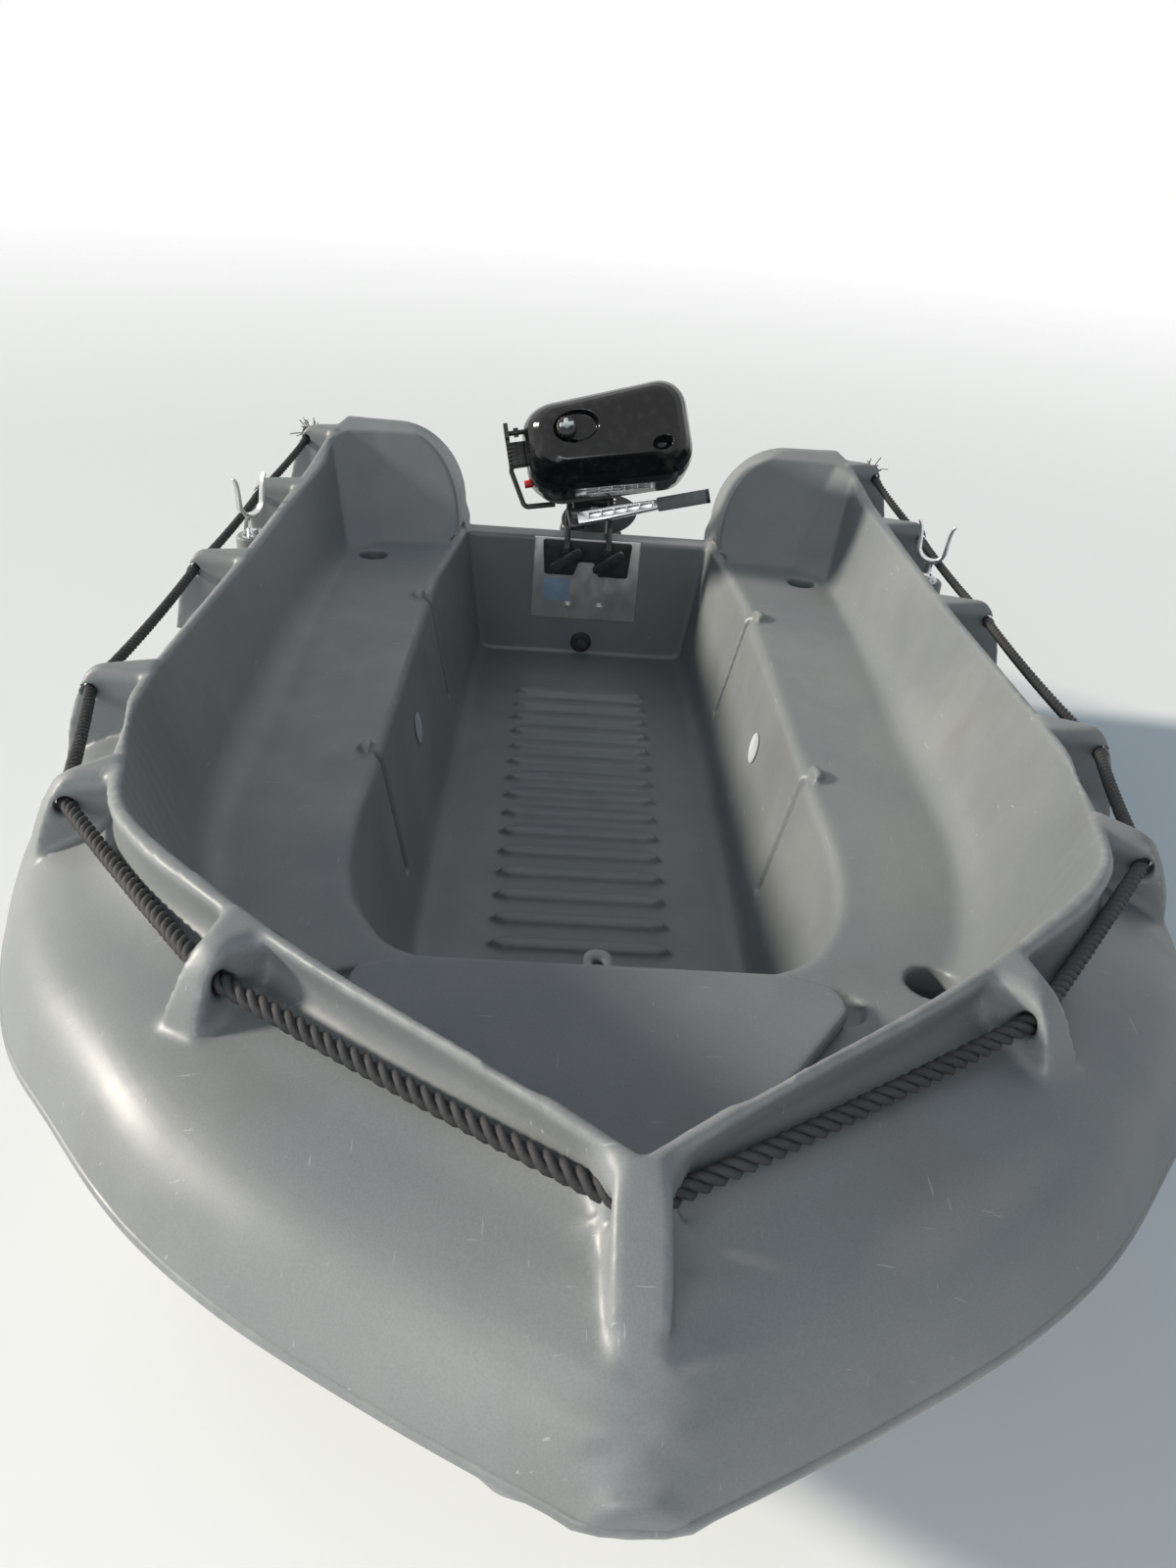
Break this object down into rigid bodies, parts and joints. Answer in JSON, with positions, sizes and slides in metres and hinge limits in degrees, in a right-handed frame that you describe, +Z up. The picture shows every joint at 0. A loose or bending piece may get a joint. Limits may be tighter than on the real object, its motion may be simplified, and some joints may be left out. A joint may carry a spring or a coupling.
{
  "type": "rowing boat",
  "caption": "Moulded plastic dinghy with side benches, foot well, lugs carrying a grab rope, turning rowlocks and a tilted small outboard motor.",
  "frame": {"origin": "on the ground under the keel, amidships on the centreline", "axes": "+X to the bow, +Y to port, +Z up"},
  "size_m": [2.8967, 1.376, 0.7269],
  "materials": {
    "hull_plastic": "satin moulded polyethylene with fine scratches",
    "lid_plastic": "satin moulded polyethylene",
    "disc_plastic": "satin moulded polyethylene",
    "rope_fibre": "twisted three-strand rope",
    "rowlock_metal": "bright galvanised",
    "socket_plastic": "satin",
    "pin_metal": "brushed",
    "plate_metal": "brushed sheet",
    "pad_plastic": "textured moulded plastic",
    "screw_metal": "stainless",
    "label_film": "bare printed film",
    "fitting_plastic": "satin black",
    "clamp_metal": "satin black paint",
    "leg_metal": "satin black paint",
    "propeller_metal": "black paint on cast aluminium",
    "pan_plastic": "moulded black",
    "cowl_plastic": "polished black",
    "cap_plastic": "moulded black",
    "handle_plastic": "moulded black",
    "stop_plastic": "gloss red",
    "tiller_metal": "cast, unpainted",
    "grip_rubber": "ribbed grey rubber"
  },
  "bodies": {
    "hull": {"hull": "hull_plastic", "lid_hinge_pin": "pin_metal", "grab_rope": "rope_fibre", "rowlock_socket_port": "socket_plastic", "rowlock_socket_starboard": "socket_plastic", "well_disc_port": "disc_plastic", "well_disc_starboard": "disc_plastic", "clamp_screw_port": "clamp_metal", "clamp_screw_starboard": "clamp_metal", "transom_plate": "plate_metal", "clamp_pad": "pad_plastic", "plate_screws": "screw_metal", "plate_label": "label_film", "drain_fitting": "fitting_plastic", "motor_clamp": "clamp_metal", "tilt_pin": "pin_metal"},
    "bow_lid": {"bow_lid": "lid_plastic"},
    "rowlock_port": {"rowlock_port": "rowlock_metal"},
    "rowlock_starboard": {"rowlock_starboard": "rowlock_metal"},
    "motor_tilt": {"swivel_bracket": "clamp_metal"},
    "motor_steer": {"motor_leg": "leg_metal", "motor_pan": "pan_plastic", "motor_cowl": "cowl_plastic", "fuel_cap": "cap_plastic", "starter_grip": "handle_plastic", "stop_button": "stop_plastic", "carry_handle": "handle_plastic", "tiller_yoke": "clamp_metal", "tiller_arm": "tiller_metal", "tiller_grip": "grip_rubber"},
    "propeller": {"propeller": "propeller_metal"}
  },
  "joints": [
    {"name": "lid_hinge", "type": "hinge", "parent": "hull", "child": "bow_lid", "pos_m": [0.792, 0, 0.3845], "axis": [0, 1, 0], "range_deg": [0, 85]},
    {"name": "rowlock_port_turn", "type": "hinge", "parent": "hull", "child": "rowlock_port", "pos_m": [-0.625, 0.632, 0.464], "axis": [0, 0, 1], "continuous": true},
    {"name": "rowlock_starboard_turn", "type": "hinge", "parent": "hull", "child": "rowlock_starboard", "pos_m": [-0.625, -0.632, 0.464], "axis": [0, 0, 1], "continuous": true},
    {"name": "motor_tilt", "type": "hinge", "parent": "hull", "child": "motor_tilt", "pos_m": [-1.108, 0, 0.43], "axis": [0, 1, 0], "range_deg": [-60, 8]},
    {"name": "motor_steer", "type": "hinge", "parent": "motor_tilt", "child": "motor_steer", "pos_m": [-1.142, 0, 0.48889], "axis": [0.866, 0, 0.5], "continuous": true},
    {"name": "propeller_spin", "type": "hinge", "parent": "motor_steer", "child": "propeller", "pos_m": [-1.6356, 0.08119, 0.22383], "axis": [0.104, -0.9781, -0.1801], "continuous": true}
  ]
}
